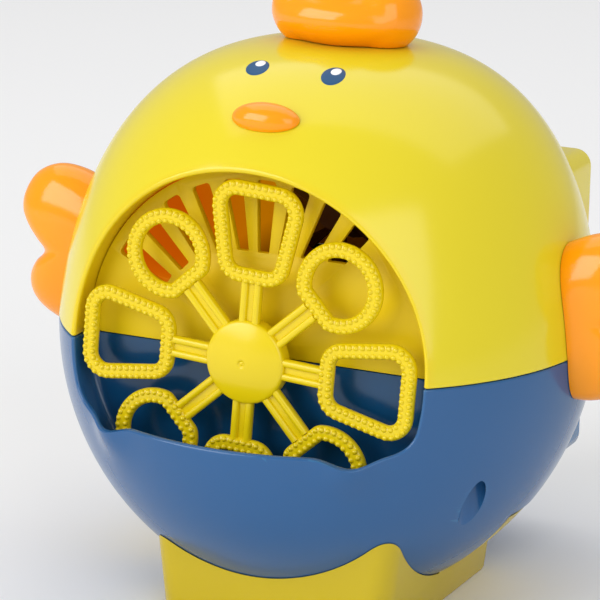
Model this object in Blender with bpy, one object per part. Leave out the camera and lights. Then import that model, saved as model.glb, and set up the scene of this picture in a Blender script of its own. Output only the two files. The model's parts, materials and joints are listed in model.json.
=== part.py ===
"""Bubble machine shaped as a round chick.

A ball-shaped body split at its equator into a yellow dome and a blue lower
shell that is also the bubble-solution tank. A wheel of eight wands turns in
the round recess at the front, in front of a slotted wall through which a fan
blows. Frame: +X across the object, -Y the front, +Z up; the origin is on the
ground under the middle of the object. Lengths below are in millimetres and
are turned into metres when a mesh is made.
"""

import math

import bmesh
import bpy
from mathutils import Matrix, Vector

# ---- driving dimensions, mm -------------------------------------------------
R = 92.5  # half width of the ball at its equator
SEAM_Z = 93.5  # height of the equator above the ground
BODY_Y = -4.42  # where the ball's axis stands, so that the origin is mid-depth
DEPTH = 0.982  # ball depth over width, towards the front
DEPTH_BACK = 1.008  # the back is a little fuller than the front
UP_H = 1.007  # dome height over R
LOW_H = 1.036  # lower shell height over R
UP_SQUARE = 0.946
LOW_SQUARE = 1.010
PLAN_SQUARE = 1.017
UP_LEAN = 0.071  # the dome leans back
LOW_LEAN = -0.027
WALL = 2.4
GAP = 0.3
BORE_R = 62.9  # round recess the wheel turns in
TUNNEL_T = 2.2
BACK_Y = -54.7  # front face of the recess's back wall
BACK_T = 2.4
LIP_Z = -23.1  # tank lip below the equator
SPOUT_X = 46.0
WHEEL_Y = -63.2
WHEEL_LEAN = 3.6  # degrees, the top wand leans to +X
HUB_R = 14.0
AXLE_R = 2.0
RING_W = 5.1
RING_T = 4.4
TRAP_C = 43.0
ROUND_C = 43.5
MODULE = 0.8
TEETH_WHEEL, TEETH_IDLER, TEETH_PINION = 36, 18, 9
TAIL_X, TAIL_Y, TAIL_TOP, TAIL_BOT, TAIL_ROUND = 59.0, 95.3, 47.3, -64.0, 6.0
FAN_Z, FAN_R = 36.0, 22.0
BASE_DX = 6.5
BASE_W_TOP, BASE_W_BOT = 46.5, 41.0
BASE_FRONT, BASE_BACK = -59.0, 40.5
WELLS = ((71.0, -39.5), (-71.0, -39.5), (57.0, 52.0), (-57.0, 52.0))

for old in list(bpy.data.objects):
    bpy.data.objects.remove(old, do_unlink=True)

# ---- materials ---------------------------------------------------------------
COLOURS = {
    "yellow_plastic": ((0.80, 0.66, 0.03), 0.22, 0.0),
    "wheel_plastic": ((0.86, 0.72, 0.03), 0.28, 0.0),
    "blue_plastic": ((0.045, 0.125, 0.30), 0.25, 0.0),
    "orange_plastic": ((0.95, 0.30, 0.005), 0.22, 0.0),
    "eye_print": ((0.01, 0.16, 0.38), 0.3, 0.0),
    "white_plastic": ((0.8, 0.8, 0.78), 0.4, 0.0),
    "black_plastic": ((0.02, 0.02, 0.02), 0.45, 0.0),
    "steel": ((0.6, 0.6, 0.6), 0.3, 1.0),
    "brass": ((0.75, 0.55, 0.25), 0.35, 1.0),
    "board": ((0.02, 0.16, 0.05), 0.5, 0.0),
    "cell_label": ((0.05, 0.05, 0.06), 0.35, 0.0),
}


def material(name, slot):
    colour, rough, metal = COLOURS[slot]
    mat = bpy.data.materials.new(name + "_" + slot)
    mat.use_nodes = True
    bsdf = mat.node_tree.nodes["Principled BSDF"]
    bsdf.inputs["Base Color"].default_value = (*colour, 1)
    bsdf.inputs["Roughness"].default_value = rough
    bsdf.inputs["Metallic"].default_value = metal
    mat.diffuse_color = (*colour, 1)
    return mat


# ---- mesh helpers --------------------------------------------------------------
SHIFT = Vector((0.0, BODY_Y, SEAM_Z))


def solid(name, verts, faces):
    """A closed mesh object in the ball's own millimetre frame, moved to its place in metres."""
    bm = bmesh.new()
    made = [bm.verts.new((Vector(v) + SHIFT) * 0.001) for v in verts]
    for face in faces:
        bm.faces.new([made[i] for i in face])
    bmesh.ops.recalc_face_normals(bm, faces=bm.faces[:])
    mesh = bpy.data.meshes.new(name)
    bm.to_mesh(mesh)
    bm.free()
    obj = bpy.data.objects.new(name, mesh)
    bpy.context.scene.collection.objects.link(obj)
    return obj


def box(name, x0, x1, y0, y1, z0, z1):
    verts = [(x, y, z) for x in (x0, x1) for y in (y0, y1) for z in (z0, z1)]
    faces = [(0, 1, 3, 2), (4, 6, 7, 5), (0, 4, 5, 1), (2, 3, 7, 6), (0, 2, 6, 4), (1, 5, 7, 3)]
    return solid(name, verts, faces)


AXES = {"X": (1, 2, 0), "Y": (0, 2, 1), "Z": (0, 1, 2)}


def place(axis, u, v, w):
    out = [0.0, 0.0, 0.0]
    a, b, c = AXES[axis]
    out[a], out[b], out[c] = u, v, w
    return tuple(out)


def prism(name, outline, w0, w1, axis="Y"):
    """An outline in the plane across the axis, pushed along the axis from w0 to w1."""
    n = len(outline)
    verts = [place(axis, u, v, w0) for u, v in outline] + [place(axis, u, v, w1) for u, v in outline]
    faces = [tuple(range(n)), tuple(range(n, 2 * n))]
    faces += [(i, (i + 1) % n, n + (i + 1) % n, n + i) for i in range(n)]
    return solid(name, verts, faces)


def turned(name, profile, n=32, axis="Y", centre=(0.0, 0.0)):
    """A profile of (radius, height) points turned about a line along the axis."""
    verts, rows = [], []
    for r, h in profile:
        if r < 1e-6:
            rows.append([len(verts)])
            verts.append(place(axis, centre[0], centre[1], h))
        else:
            rows.append(list(range(len(verts), len(verts) + n)))
            for i in range(n):
                a = 2 * math.pi * i / n
                verts.append(place(axis, centre[0] + r * math.cos(a), centre[1] + r * math.sin(a), h))
    faces = []
    pairs = list(zip(rows, rows[1:]))
    if len(rows[0]) > 1:
        pairs.append((rows[-1], rows[0]))
    for p, q in pairs:
        for i in range(n):
            j = (i + 1) % n
            if len(p) == 1 and len(q) == 1:
                break
            if len(p) == 1:
                faces.append((p[0], q[i], q[j]))
            elif len(q) == 1:
                faces.append((p[i], p[j], q[0]))
            else:
                faces.append((p[i], p[j], q[j], q[i]))
    return solid(name, verts, faces)


def rod(name, r, h0, h1, n=24, axis="Y", centre=(0.0, 0.0)):
    return turned(name, [(0, h0), (r, h0), (r, h1), (0, h1)], n, axis, centre)


def tube(name, r0, r1, h0, h1, n=24, axis="Y", centre=(0.0, 0.0)):
    return turned(name, [(r0, h0), (r1, h0), (r1, h1), (r0, h1)], n, axis, centre)


def ellipsoid(name, centre, radii, n=24, rows=12, tilt=0.0):
    verts, faces = [], []
    ring = []
    spin = Matrix.Rotation(math.radians(tilt), 3, "Y")
    for k in range(rows + 1):
        p = math.pi * k / rows
        if k in (0, rows):
            ring.append([len(verts)])
            v = Vector((0, 0, radii[2] * math.cos(p)))
            verts.append(tuple(spin @ v + Vector(centre)))
            continue
        ring.append(list(range(len(verts), len(verts) + n)))
        for i in range(n):
            a = 2 * math.pi * i / n
            v = Vector((radii[0] * math.sin(p) * math.cos(a), radii[1] * math.sin(p) * math.sin(a), radii[2] * math.cos(p)))
            verts.append(tuple(spin @ v + Vector(centre)))
    for p, q in zip(ring, ring[1:]):
        for i in range(n):
            j = (i + 1) % n
            if len(p) == 1:
                faces.append((p[0], q[i], q[j]))
            elif len(q) == 1:
                faces.append((p[i], p[j], q[0]))
            else:
                faces.append((p[i], p[j], q[j], q[i]))
    return solid(name, verts, faces)


def power(value, e):
    return math.copysign(abs(value) ** e, value)


def swell(phi):
    """The dome's shape is a little fuller than an ellipse at mid height."""
    return (
        1
        + 0.0197 * math.sin(2 * phi) ** 2
        + 0.0376 * math.sin(phi) ** 2 * math.sin(2 * phi)
        - 0.0132 * math.sin(4 * phi)
    )


def ball_point(theta, phi, upper, r):
    g = swell(phi) if upper else 1.0
    ev = UP_SQUARE if upper else LOW_SQUARE
    k = power(math.cos(phi), ev) * g
    x = k * power(math.cos(theta), PLAN_SQUARE)
    y = DEPTH * k * power(math.sin(theta), PLAN_SQUARE)
    h = g * (UP_H if upper else LOW_H) * power(math.sin(phi), ev)
    if y > 0:
        y *= DEPTH_BACK
    y += (UP_LEAN if upper else LOW_LEAN) * h
    return (r * x, r * y, r * h if upper else -r * h)


def half_ball(name, upper, r, n=40, rows=9, skirt=0.0):
    """Half of the ball as a closed solid, its flat face on the equator or skirt beyond it."""
    side = 1 if upper else -1
    start = side * GAP / 2
    verts, ring = [], []
    if skirt:
        ring.append(list(range(n)))
        for i in range(n):
            x, y, _ = ball_point(2 * math.pi * i / n, 0.0, upper, r)
            verts.append((x, y, -side * skirt))
    for k in range(rows):
        phi = math.pi / 2 * k / rows
        ring.append(list(range(len(verts), len(verts) + n)))
        for i in range(n):
            x, y, z = ball_point(2 * math.pi * i / n, phi, upper, r)
            verts.append((x, y, z + start))
    ring.append([len(verts)])
    x, y, z = ball_point(0.0, math.pi / 2, upper, r)
    verts.append((0.0, y, z + start))
    faces = [tuple(ring[0])]
    for p, q in zip(ring, ring[1:]):
        for i in range(n):
            j = (i + 1) % n
            if len(q) == 1:
                faces.append((p[i], p[j], q[0]))
            else:
                faces.append((p[i], p[j], q[j], q[i]))
    return solid(name, verts, faces)


def cut(target, *tools, op="DIFFERENCE"):
    """Boolean of the target with each tool in turn; the tools are used up."""
    for tool in tools:
        mod = target.modifiers.new("cut", "BOOLEAN")
        mod.operation = op
        mod.solver = "EXACT"
        mod.object = tool
        bpy.context.view_layer.update()
        graph = bpy.context.evaluated_depsgraph_get()
        mesh = bpy.data.meshes.new_from_object(target.evaluated_get(graph))
        target.modifiers.clear()
        target.data = mesh
        bpy.data.objects.remove(tool, do_unlink=True)
    return target


def join(target, *tools):
    return cut(target, *tools, op="UNION")


def keep(target, *tools):
    return cut(target, *tools, op="INTERSECT")


def finish(obj, slot, angle=35.0, pivot=None):
    """Gives the object its material, smooth shading and, for a moving piece, its origin."""
    obj.data.materials.clear()
    obj.data.materials.append(material(obj.name, slot))
    obj.data.shade_smooth()
    obj.data.set_sharp_from_angle(angle=math.radians(angle))
    if pivot is not None:
        p = (Vector(pivot) + SHIFT) * 0.001
        obj.data.transform(Matrix.Translation(-p))
        obj.location = p
    return obj


def half_disc(r, upper, n=32, flat=0.0):
    """Half circle outline in X and Z, closed by a straight line at height flat."""
    side = 1 if upper else -1
    arc = [(r * math.cos(math.pi * i / n), side * r * math.sin(math.pi * i / n)) for i in range(n + 1)]
    if flat * side > 0:
        end = math.sqrt(r * r - flat * flat)
        arc = [p for p in arc if p[1] * side > flat * side + 0.01]
        return [(end, flat)] + arc + [(-end, flat)]
    return [(r, flat)] + arc + [(-r, flat)]


def rounded_rect(x0, x1, z0, z1, r, n=5, corners=(True, True, True, True)):
    """Outline from the lower left corner, anticlockwise."""
    pts = []
    data = ((x0, z0, 180, 1, 1), (x1, z0, 270, -1, 1), (x1, z1, 0, -1, -1), (x0, z1, 90, 1, -1))
    for (x, z, a0, sx, sz), on in zip(data, corners):
        if not on:
            pts.append((x, z))
            continue
        for k in range(n + 1):
            a = math.radians(a0 + 90 * k / n)
            pts.append((x + sx * r + r * math.cos(a), z + sz * r + r * math.sin(a)))
    return pts


# ---- upper shell: yellow dome with the upper half of the tunnel and tail -------
def tail_block(name, upper, inset, y0):
    if upper:
        outline = rounded_rect(-TAIL_X + inset, TAIL_X - inset, GAP / 2 if not inset else -5, TAIL_TOP - inset, TAIL_ROUND, corners=(False, False, True, True))
    else:
        outline = rounded_rect(-TAIL_X + inset, TAIL_X - inset, TAIL_BOT + inset, -GAP / 2 if not inset else 5, TAIL_ROUND, corners=(True, True, False, False))
    return prism(name, outline, y0, TAIL_Y - inset, "Y")


upper = half_ball("upper_shell", True, R)
join(upper, tail_block("t", True, 0, 30.0))
cavity = half_ball("c", True, R - WALL, n=28, rows=6, skirt=6.0)
join(cavity, tail_block("t", True, WALL, 25.0))
cut(cavity, prism("t", half_disc(BORE_R + TUNNEL_T, True, flat=-10.0), -200, BACK_Y + BACK_T + 0.6))
for x, y in WELLS:
    cut(cavity, rod("b", 4.6, -10, 60, 16, "Z", (x, y)))
cut(upper, cavity)
cut(upper, prism("t", half_disc(BORE_R, True, flat=-10.0), -200, BACK_Y + BACK_T + 2.0))
for x, y in WELLS:
    cut(upper, rod("b", 1.5, -5, 14, 10, "Z", (x, y)))
for k in range(5):
    cut(upper, box("s", -42, 12, 80, 120, 9.0 + 6.6 * k, 12.2 + 6.6 * k))
cut(upper, prism("s", rounded_rect(38.6, 50.6, 21.6, 28.4, 1.5, 3), 80, 120))
for side in (-1, 1):
    cut(upper, rod("w", 4.4, 80 * side, 100 * side, 16, "X", (0.0, 26.0)))
cut(upper, rod("w", 4.4, 80, 100, 16, "Z", (0.0, 8.0)))
finish(upper, "yellow_plastic", 40)

# ---- lower shell: blue tank, lower tunnel half, screw wells, lower tail ---------
lower = half_ball("lower_shell", False, R)
join(lower, tail_block("t", False, 0, 30.0))
cavity = half_ball("c", False, R - WALL, n=28, rows=6, skirt=6.0)
join(cavity, tail_block("t", False, WALL, 25.0))
cut(cavity, prism("t", half_disc(BORE_R + TUNNEL_T, False, flat=10.0), -200, BACK_Y + BACK_T))
for x, y in WELLS:
    cut(cavity, rod("b", 6.4, -90, -6, 20, "Z", (x, y)))
cut(lower, cavity)
tank = prism("t", half_disc(BORE_R, False, flat=10.0), -200, BACK_Y)
inner = half_ball("i", False, R - WALL, n=32, rows=7, skirt=12.0)
window = prism("w", rounded_rect(-BORE_R, BORE_R, LIP_Z, 10.0, 9.0, 5, (True, True, False, False)), -200, -40)
for side in (-1, 1):
    join(window, rod("n", 8.5, -190, -41, 24, "Y", (side * SPOUT_X, LIP_Z + 3.2)))
join(inner, window)
keep(tank, inner)
cut(lower, tank)
# room for the turning wands behind the front wall
cut(lower, prism("r", half_disc(61.3, False, flat=-0.5), BACK_Y - 1.0, WHEEL_Y - RING_T / 2 - 0.9))
for x, y in WELLS:
    cut(lower, rod("b", 4.3, -120, -12, 20, "Z", (x, y)), rod("c", 1.9, -20, 5, 12, "Z", (x, y)))
cut(lower, rod("b", 9.6, BACK_Y - 5, BACK_Y + 8, 32, "Y"))
cut(lower, box("d", -33.3, 33.3, 80, 120, -60.6, -1.6))
# an opening in the hidden underside, inside the stand
cut(lower, prism("o", rounded_rect(-34, 36, -38, 33, 8.0), -120, -70, "Z"))
# shallow pockets at the sides that take the stand's ears
for side in (-1, 1):
    pocket = half_ball("p", False, R + 5)
    cut(pocket, half_ball("q", False, R - 1.6, skirt=6.0))
    keep(pocket, box("k", min(side * 30, side * 120), max(side * 30, side * 120), -12, 34, -89.0, -55.8))
    cut(lower, pocket)
finish(lower, "blue_plastic", 40)

# ---- stand --------------------------------------------------------------------
def stand_block(name, inset, z0, z1):
    """Tapered block with rounded upright edges; its z is measured from the ground."""
    verts, n = [], 0
    for z in (z0, z1):
        t = z / 50.0
        hw = BASE_W_BOT + (BASE_W_TOP - BASE_W_BOT) * t - inset
        out = rounded_rect(BASE_DX - hw, BASE_DX + hw, BASE_FRONT + inset + 1.5 * (1 - t), BASE_BACK - inset - 1.5 * (1 - t), 8.0 - inset * 0.5, 5)
        n = len(out)
        verts += [(x, y, z - SEAM_Z) for x, y in out]
    faces = [tuple(range(n)), tuple(range(n, 2 * n))] + [(i, (i + 1) % n, n + (i + 1) % n, n + i) for i in range(n)]
    return solid(name, verts, faces)


base = stand_block("base", 0.0, 0.0, 46.0)
for side in (-1, 1):
    ear = half_ball("e", False, R - 0.4)
    keep(ear, box("k", min(side * 31, side * 120), max(side * 31, side * 120), -9, 31, -88.0, -57.6))
    join(base, ear)
cut(base, stand_block("i", 2.4, 2.4, 60.0))
bowl = half_ball("b", False, R + GAP)
# the ball with its pockets, a hair larger, is taken out of the stand
for side in (-1, 1):
    pocket = half_ball("p", False, R + 5)
    cut(pocket, half_ball("q", False, R - 1.6 + GAP, skirt=6.0))
    keep(pocket, box("k", min(side * (30 + GAP), side * 120), max(side * (30 + GAP), side * 120), -12 + GAP, 34 - GAP, -89.0 + GAP, -55.8 - GAP))
    cut(bowl, pocket)
keep(bowl, box("k", -120, 120, -120, 120, 2.7 - SEAM_Z, 60))
cut(base, bowl)
finish(base, "yellow_plastic", 40)

# ---- recess back wall with air slots ---------------------------------------------
SLOT_FIRST, SLOT_PITCH, SLOT_HALF = -58.0, 12.0, 3.4   # degrees clockwise from the top
SLOT_LOW, SLOT_TOP = 34.5, 58.9
panel = prism("grille_panel", half_disc(BORE_R - GAP, True, flat=GAP / 2 + 0.15), BACK_Y, BACK_Y + BACK_T)
join(panel, rod("b", 9.3, BACK_Y + 0.05, BACK_Y + BACK_T + 0.2, 32, "Y"))
for k in range(9):
    lean = SLOT_FIRST + SLOT_PITCH * k
    low, high = [], []
    for edge in (lean - SLOT_HALF, lean + SLOT_HALF):
        t = math.radians(edge)
        r = SLOT_LOW / math.cos(t) if lean > -15 else SLOT_LOW + 0.1 * abs(lean + 10)
        low.append((r * math.sin(t), r * math.cos(t)))
        high.append((SLOT_TOP * math.sin(t), SLOT_TOP * math.cos(t)))
    cut(panel, prism("s", [low[0], low[1], high[1], high[0]], BACK_Y - 5, BACK_Y + 10))
cut(panel, rod("h", 3.6, BACK_Y - 5, BACK_Y + 10, 24, "Y"))
finish(panel, "yellow_plastic")

finish(tube("axle_bush", AXLE_R + GAP, 3.3, BACK_Y - 1.2, BACK_Y + BACK_T + 0.4, 24), "white_plastic")

# ---- wand wheel --------------------------------------------------------------------
def rounded_polygon(corners, n=5):
    """Corners are (x, z, radius), anticlockwise; each is rounded."""
    pts, m = [], len(corners)
    for i, (x, z, r) in enumerate(corners):
        p = Vector((x, z))
        a = (Vector(corners[i - 1][:2]) - p).normalized()
        b = (Vector(corners[(i + 1) % m][:2]) - p).normalized()
        half = a.angle(b) / 2
        centre = p + (a + b).normalized() * (r / math.sin(half))
        t0 = p + a * (r / math.tan(half)) - centre
        t1 = p + b * (r / math.tan(half)) - centre
        a0 = math.atan2(t0.y, t0.x)
        turn = (math.atan2(t1.y, t1.x) - a0 + math.pi) % (2 * math.pi) - math.pi
        for k in range(n + 1):
            c = a0 + turn * k / n
            pts.append((centre.x + r * math.cos(c), centre.y + r * math.sin(c)))
    return pts


def trapezoid(grow):
    """Wand loop outline about its own centre, z pointing away from the hub."""
    g = grow
    return rounded_polygon([(-7.1 - g * 0.95, -11.7 - g, 3.6 + g * 0.8), (7.1 + g * 0.95, -11.7 - g, 3.6 + g * 0.8), (12.2 + g, 11.7 + g, 3.6 + g), (-12.2 - g, 11.7 + g, 3.6 + g)], 4)


def round_loop(grow):
    r, flat = 10.0 + grow, -8.2 - grow
    return [(r * math.cos(2 * math.pi * i / 24), max(flat, r * math.sin(2 * math.pi * i / 24))) for i in range(24)]


def about_hub(points, centre, degrees):
    """Moves an outline out to its wand centre, then turns it clockwise from the top."""
    a = math.radians(degrees)
    return [(x * math.cos(a) + (z + centre) * math.sin(a), -x * math.sin(a) + (z + centre) * math.cos(a)) for x, z in points]


wheel = turned("wand_wheel", [(AXLE_R + GAP, WHEEL_Y + 4.2), (HUB_R - 0.8, WHEEL_Y + 4.2), (HUB_R, WHEEL_Y + 3.4), (HUB_R, WHEEL_Y - 1.2), (HUB_R - 1.4, WHEEL_Y - 2.4), (HUB_R - 5.0, WHEEL_Y - 3.6), (HUB_R - 10.0, WHEEL_Y - 4.0), (0, WHEEL_Y - 4.0), (0, WHEEL_Y - 1.5), (AXLE_R + GAP, WHEEL_Y - 1.5)], 32)
for k in range(8):
    lean = WHEEL_LEAN + 45 * k
    shape, centre, reach = (trapezoid, TRAP_C, 26.5) if k % 2 == 0 else (round_loop, ROUND_C, 29.5)
    loop = prism("l", about_hub(shape(RING_W), centre, lean), WHEEL_Y - RING_T / 2, WHEEL_Y + RING_T / 2)
    join(wheel, loop)
for k in range(8):
    lean = WHEEL_LEAN + 45 * k
    shape, centre, reach = (trapezoid, TRAP_C, 28.0) if k % 2 == 0 else (round_loop, ROUND_C, 30.5)
    for side in (-1, 1):
        rail = [(side * 2.3 - 1.2, 11.5), (side * 2.3 + 1.2, 11.5), (side * 2.3 + 1.2, reach), (side * 2.3 - 1.2, reach)]
        join(wheel, prism("r", about_hub(rail, 0.0, lean), WHEEL_Y - 1.6, WHEEL_Y + 1.6))
    cut(wheel, prism("h", about_hub(shape(0.0), centre, lean), WHEEL_Y - 8, WHEEL_Y + 8))
finish(wheel, "wheel_plastic", 35, (0, WHEEL_Y, 0))

# ---- wheel drive ----------------------------------------------------------------------
GEAR_Y0, GEAR_Y1 = -47.5, -43.5
finish(rod("wheel_axle", AXLE_R, WHEEL_Y - 1.2, -42.6, 20), "steel", 35, (0, WHEEL_Y, 0))


def gear(name, teeth, centre, first, bore, y0=GEAR_Y0, y1=GEAR_Y1):
    """Spur gear with straight-sided teeth; first is the angle of one tooth in degrees."""
    rp = MODULE * teeth / 2
    root, tip = rp - 1.15 * MODULE, rp + 0.85 * MODULE
    pitch = 2 * math.pi / teeth
    pts = []
    for i in range(teeth):
        a = math.radians(first) + pitch * i
        for r, t in ((root, -0.30), (tip, -0.11), (tip, 0.11), (root, 0.30)):
            pts.append((centre[0] + r * math.cos(a + t * pitch), centre[1] + r * math.sin(a + t * pitch)))
    obj = prism(name, pts, y0, y1)
    if bore:
        cut(obj, rod("b", bore, y0 - 2, y1 + 2, 20, "Y", centre))
    return obj


D1 = MODULE * (TEETH_WHEEL + TEETH_IDLER) / 2
D2 = MODULE * (TEETH_IDLER + TEETH_PINION) / 2
OUT = Vector((math.cos(math.radians(225)), math.sin(math.radians(225))))
IDLER = tuple(OUT * D1)
PINION = tuple(OUT * (D1 + D2))
finish(gear("wheel_gear", TEETH_WHEEL, (0, 0), 225, AXLE_R + GAP), "white_plastic", 30, (0, -45.5, 0))
finish(gear("idler_gear", TEETH_IDLER, IDLER, 45 + 180 / TEETH_IDLER, 1.3), "white_plastic", 30, (IDLER[0], -45.5, IDLER[1]))
pinion = gear("motor_pinion", TEETH_PINION, PINION, 45, 0.0)
join(pinion, rod("s", 0.9, GEAR_Y1 - 0.5, -34.0, 14, "Y", PINION))
finish(pinion, "brass", 30, (PINION[0], -45.5, PINION[1]))
finish(rod("idler_pin", 1.0, -49.4, -41.9, 14, "Y", IDLER), "steel")

case = prism("gearbox_housing", rounded_rect(-38.5, 17.5, -38.5, 17.5, 6.0), -49.6, -40.0)
cut(case, prism("i", rounded_rect(-36.9, 15.9, -36.9, 15.9, 4.6), -55, -41.6))
cut(case, rod("b", 2.5, -44, -36, 20, "Y"), rod("p", 1.6, -44, -36, 16, "Y", PINION))
finish(case, "white_plastic")
cover = prism("gearbox_cover", rounded_rect(-38.5, 17.5, -38.5, 17.5, 6.0), -51.4, -49.9)
cut(cover, rod("b", 4.0, -60, -40, 20, "Y"))
finish(cover, "white_plastic")
motor = turned("wheel_motor", [(0, -39.7), (3.0, -39.7), (3.0, -38.4), (9.2, -38.4), (10.0, -37.6), (10.0, -14.0), (9.2, -13.2), (3.4, -13.2), (3.4, -12.0), (0, -12.0)], 20, "Y", PINION)
cut(motor, rod("b", 1.2, -45, -33.4, 14, "Y", PINION))
finish(motor, "steel", 40)

# ---- blower ------------------------------------------------------------------------------
def loft(name, sections):
    """A solid through closed outlines of equal point count, each at its own y."""
    verts, n = [], len(sections[0][1])
    for y, out in sections:
        verts += [(u, y, v) for u, v in out]
    m = len(sections)
    faces = [tuple(range(n)), tuple(range((m - 1) * n, m * n))]
    for s in range(m - 1):
        faces += [(s * n + i, s * n + (i + 1) % n, (s + 1) * n + (i + 1) % n, (s + 1) * n + i) for i in range(n)]
    return solid(name, verts, faces)


def oval(a, b, cz, n=28):
    return [(a * math.cos(2 * math.pi * i / n), cz + b * math.sin(2 * math.pi * i / n)) for i in range(n)]


duct = loft("fan_duct", [(-51.6, oval(57, 21.8, 40)), (-40.0, oval(50, 21.5, 39.5)), (-8.0, oval(25.5, 24.5, FAN_Z)), (18.0, oval(25.0, 25.0, FAN_Z))])
cut(duct, loft("i", [(-60.0, oval(57.6, 20.1, 40)), (-40.0, oval(48.2, 19.7, 39.5)), (-8.0, oval(23.7, 22.7, FAN_Z)), (30.0, oval(23.2, 23.2, FAN_Z))]))
finish(duct, "yellow_plastic", 40)

fan = rod("fan_impeller", 6.0, 2.0, 13.0, 24, "Y", (0.0, FAN_Z))
for k in range(6):
    blade = box("b", -4.6, 4.6, 6.9, 8.1, 4.5, FAN_R - 1.0)
    turn = Matrix.Translation(Vector((0, BODY_Y + 7.5, FAN_Z + SEAM_Z)) * 0.001) @ Matrix.Rotation(math.radians(60 * k), 4, "Y") @ Matrix.Rotation(math.radians(38), 4, "Z")
    blade.data.transform(turn @ Matrix.Translation(Vector((0, -(BODY_Y + 7.5), -SEAM_Z)) * 0.001))
    join(fan, blade)
cut(fan, rod("b", 1.2, 8.0, 20, 14, "Y", (0.0, FAN_Z)))
finish(fan, "white_plastic", 30, (0, 7.5, FAN_Z))
fan_motor = turned("fan_motor", [(0, 9.0), (0.9, 9.0), (0.9, 20.0), (3.0, 20.0), (3.0, 21.4), (9.2, 21.4), (10.0, 22.2), (10.0, 45.0), (9.2, 45.8), (0, 45.8)], 20, "Y", (0.0, FAN_Z))
finish(fan_motor, "steel", 40)
bracket = tube("fan_motor_bracket", 10.4, 12.2, 19.0, 36.0, 20, "Y", (0.0, FAN_Z))
join(bracket, tube("p", 3.4, 11.3, 19.3, 20.8, 18, "Y", (0.0, FAN_Z)))
for k in range(4):
    a = math.radians(45 + 90 * k)
    pts = [(10.8, -1.6), (24.6, -1.6), (24.6, 1.6), (10.8, 1.6)]
    arm = [(u * math.cos(a) - v * math.sin(a), FAN_Z + u * math.sin(a) + v * math.cos(a)) for u, v in pts]
    join(bracket, prism("a", arm, 18.6, 21.4))
finish(bracket, "white_plastic")

# ---- face, comb and wings ---------------------------------------------------------------------
beak = ellipsoid("beak", (0.5, -52.8, 78.2), (11.9, 6.2, 5.6), 20, 10)
cut(beak, half_ball("q", True, R + GAP, skirt=6.0))
finish(beak, "orange_plastic", 60)

for side, label in ((-1, "left"), (1, "right")):
    eye = ellipsoid("eye_" + label, (side * 13.7, -30.0, 89.6), (3.3, 5.2, 3.6), 20, 10)
    cut(eye, half_ball("q", True, R + GAP, skirt=6.0))
    keep(eye, half_ball("q", True, R + 0.8, skirt=6.0))
    finish(eye, "eye_print", 60)

comb = ellipsoid("comb", (0, 8.6, 103.0), (26.6, 17.2, 11.0), 20, 8)
join(comb, ellipsoid("l", (0, 9.0, 106.0), (14.0, 14.0, 17.5), 16, 8))
for side in (-1, 1):
    join(comb, ellipsoid("l", (side * 14.0, 9.37, 104.2), (12.6, 13.4, 13.0), 14, 8, tilt=side * 13))
cut(comb, half_ball("q", True, R + GAP, skirt=6.0))
join(comb, rod("stem", 4.0, 86.0, 99.0, 18, "Z", (0.0, 8.0)))
finish(comb, "orange_plastic", 50)

for side, label in ((-1, "left"), (1, "right")):
    wing = ellipsoid("wing_" + label, (side * 98.5, 0, 29.0), (20.0, 12.6, 16.2), 16, 9, tilt=side * -14)
    join(wing, ellipsoid("l", (side * 95.0, 0.2, 3.0), (19.0, 12.0, 17.2), 14, 9, tilt=side * 12))
    cut(wing, half_ball("q", True, R + GAP, skirt=0.4))
    cut(wing, half_ball("q", False, R + GAP, skirt=0.4))
    join(wing, rod("stem", 4.0, 84 * side, 96 * side, 18, "X", (0.0, 26.0)))
    finish(wing, "orange_plastic", 50)

# ---- batteries ---------------------------------------------------------------------------------
tray = box("battery_tray", -32.0, 32.0, 75.0, 92.4, -61.2, -1.9)
cut(tray, box("i", -30.6, 30.6, 76.4, 100, -60.2, -7.2))
cut(tray, rod("b", 1.6, 80, 100, 14, "Y", (0.0, -4.6)))
finish(tray, "black_plastic")
for k in range(4):
    cx = -22.5 + 15.0 * k
    up = k % 2 == 0
    prof = [(0, -58.7), (7.0, -58.7), (7.0, -9.9), (2.7, -9.9), (2.7, -8.6), (0, -8.6)] if up else [(0, -58.7), (2.7, -58.7), (2.7, -57.4), (7.0, -57.4), (7.0, -8.6), (0, -8.6)]
    finish(turned("aa_cell_%d" % (k + 1), prof, 20, "Z", (cx, 84.3)), "cell_label")
for label, z0, z1 in (("upper", -8.0, -7.5), ("lower", -59.9, -59.3)):
    finish(box("contact_strip_" + label, -29.5, 29.5, 78.5, 90.5, z0, z1), "steel")
pivot_z, pivot_y = -59.25, 94.25
door_pts = [(93.2, pivot_z), (93.2, -1.9), (95.3, -1.9), (95.3, pivot_z)]
for i in range(1, 8):
    a = math.pi * i / 8
    door_pts.append((pivot_y + 1.05 * math.cos(a), pivot_z - 1.05 * math.sin(a)))
door = prism("battery_door", door_pts, -33.0, 33.0, "X")
cut(door, rod("b", 1.7, 80, 94.4, 14, "Y", (0.0, -4.6)), rod("c", 3.0, 94.0, 99, 20, "Y", (0.0, -4.6)))
finish(door, "blue_plastic", 35, (0, pivot_y, pivot_z))
screw = turned("door_screw", [(0, 86.5), (1.25, 86.5), (1.25, 94.25), (2.7, 94.25), (2.7, 95.0), (0, 95.0)], 20, "Y", (0.0, -4.6))
cut(screw, box("s", -1.8, 1.8, 94.6, 96, -4.9, -4.3), box("s", -0.3, 0.3, 94.6, 96, -6.4, -2.8))
finish(screw, "steel", 35, (0, pivot_y, pivot_z))

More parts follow.
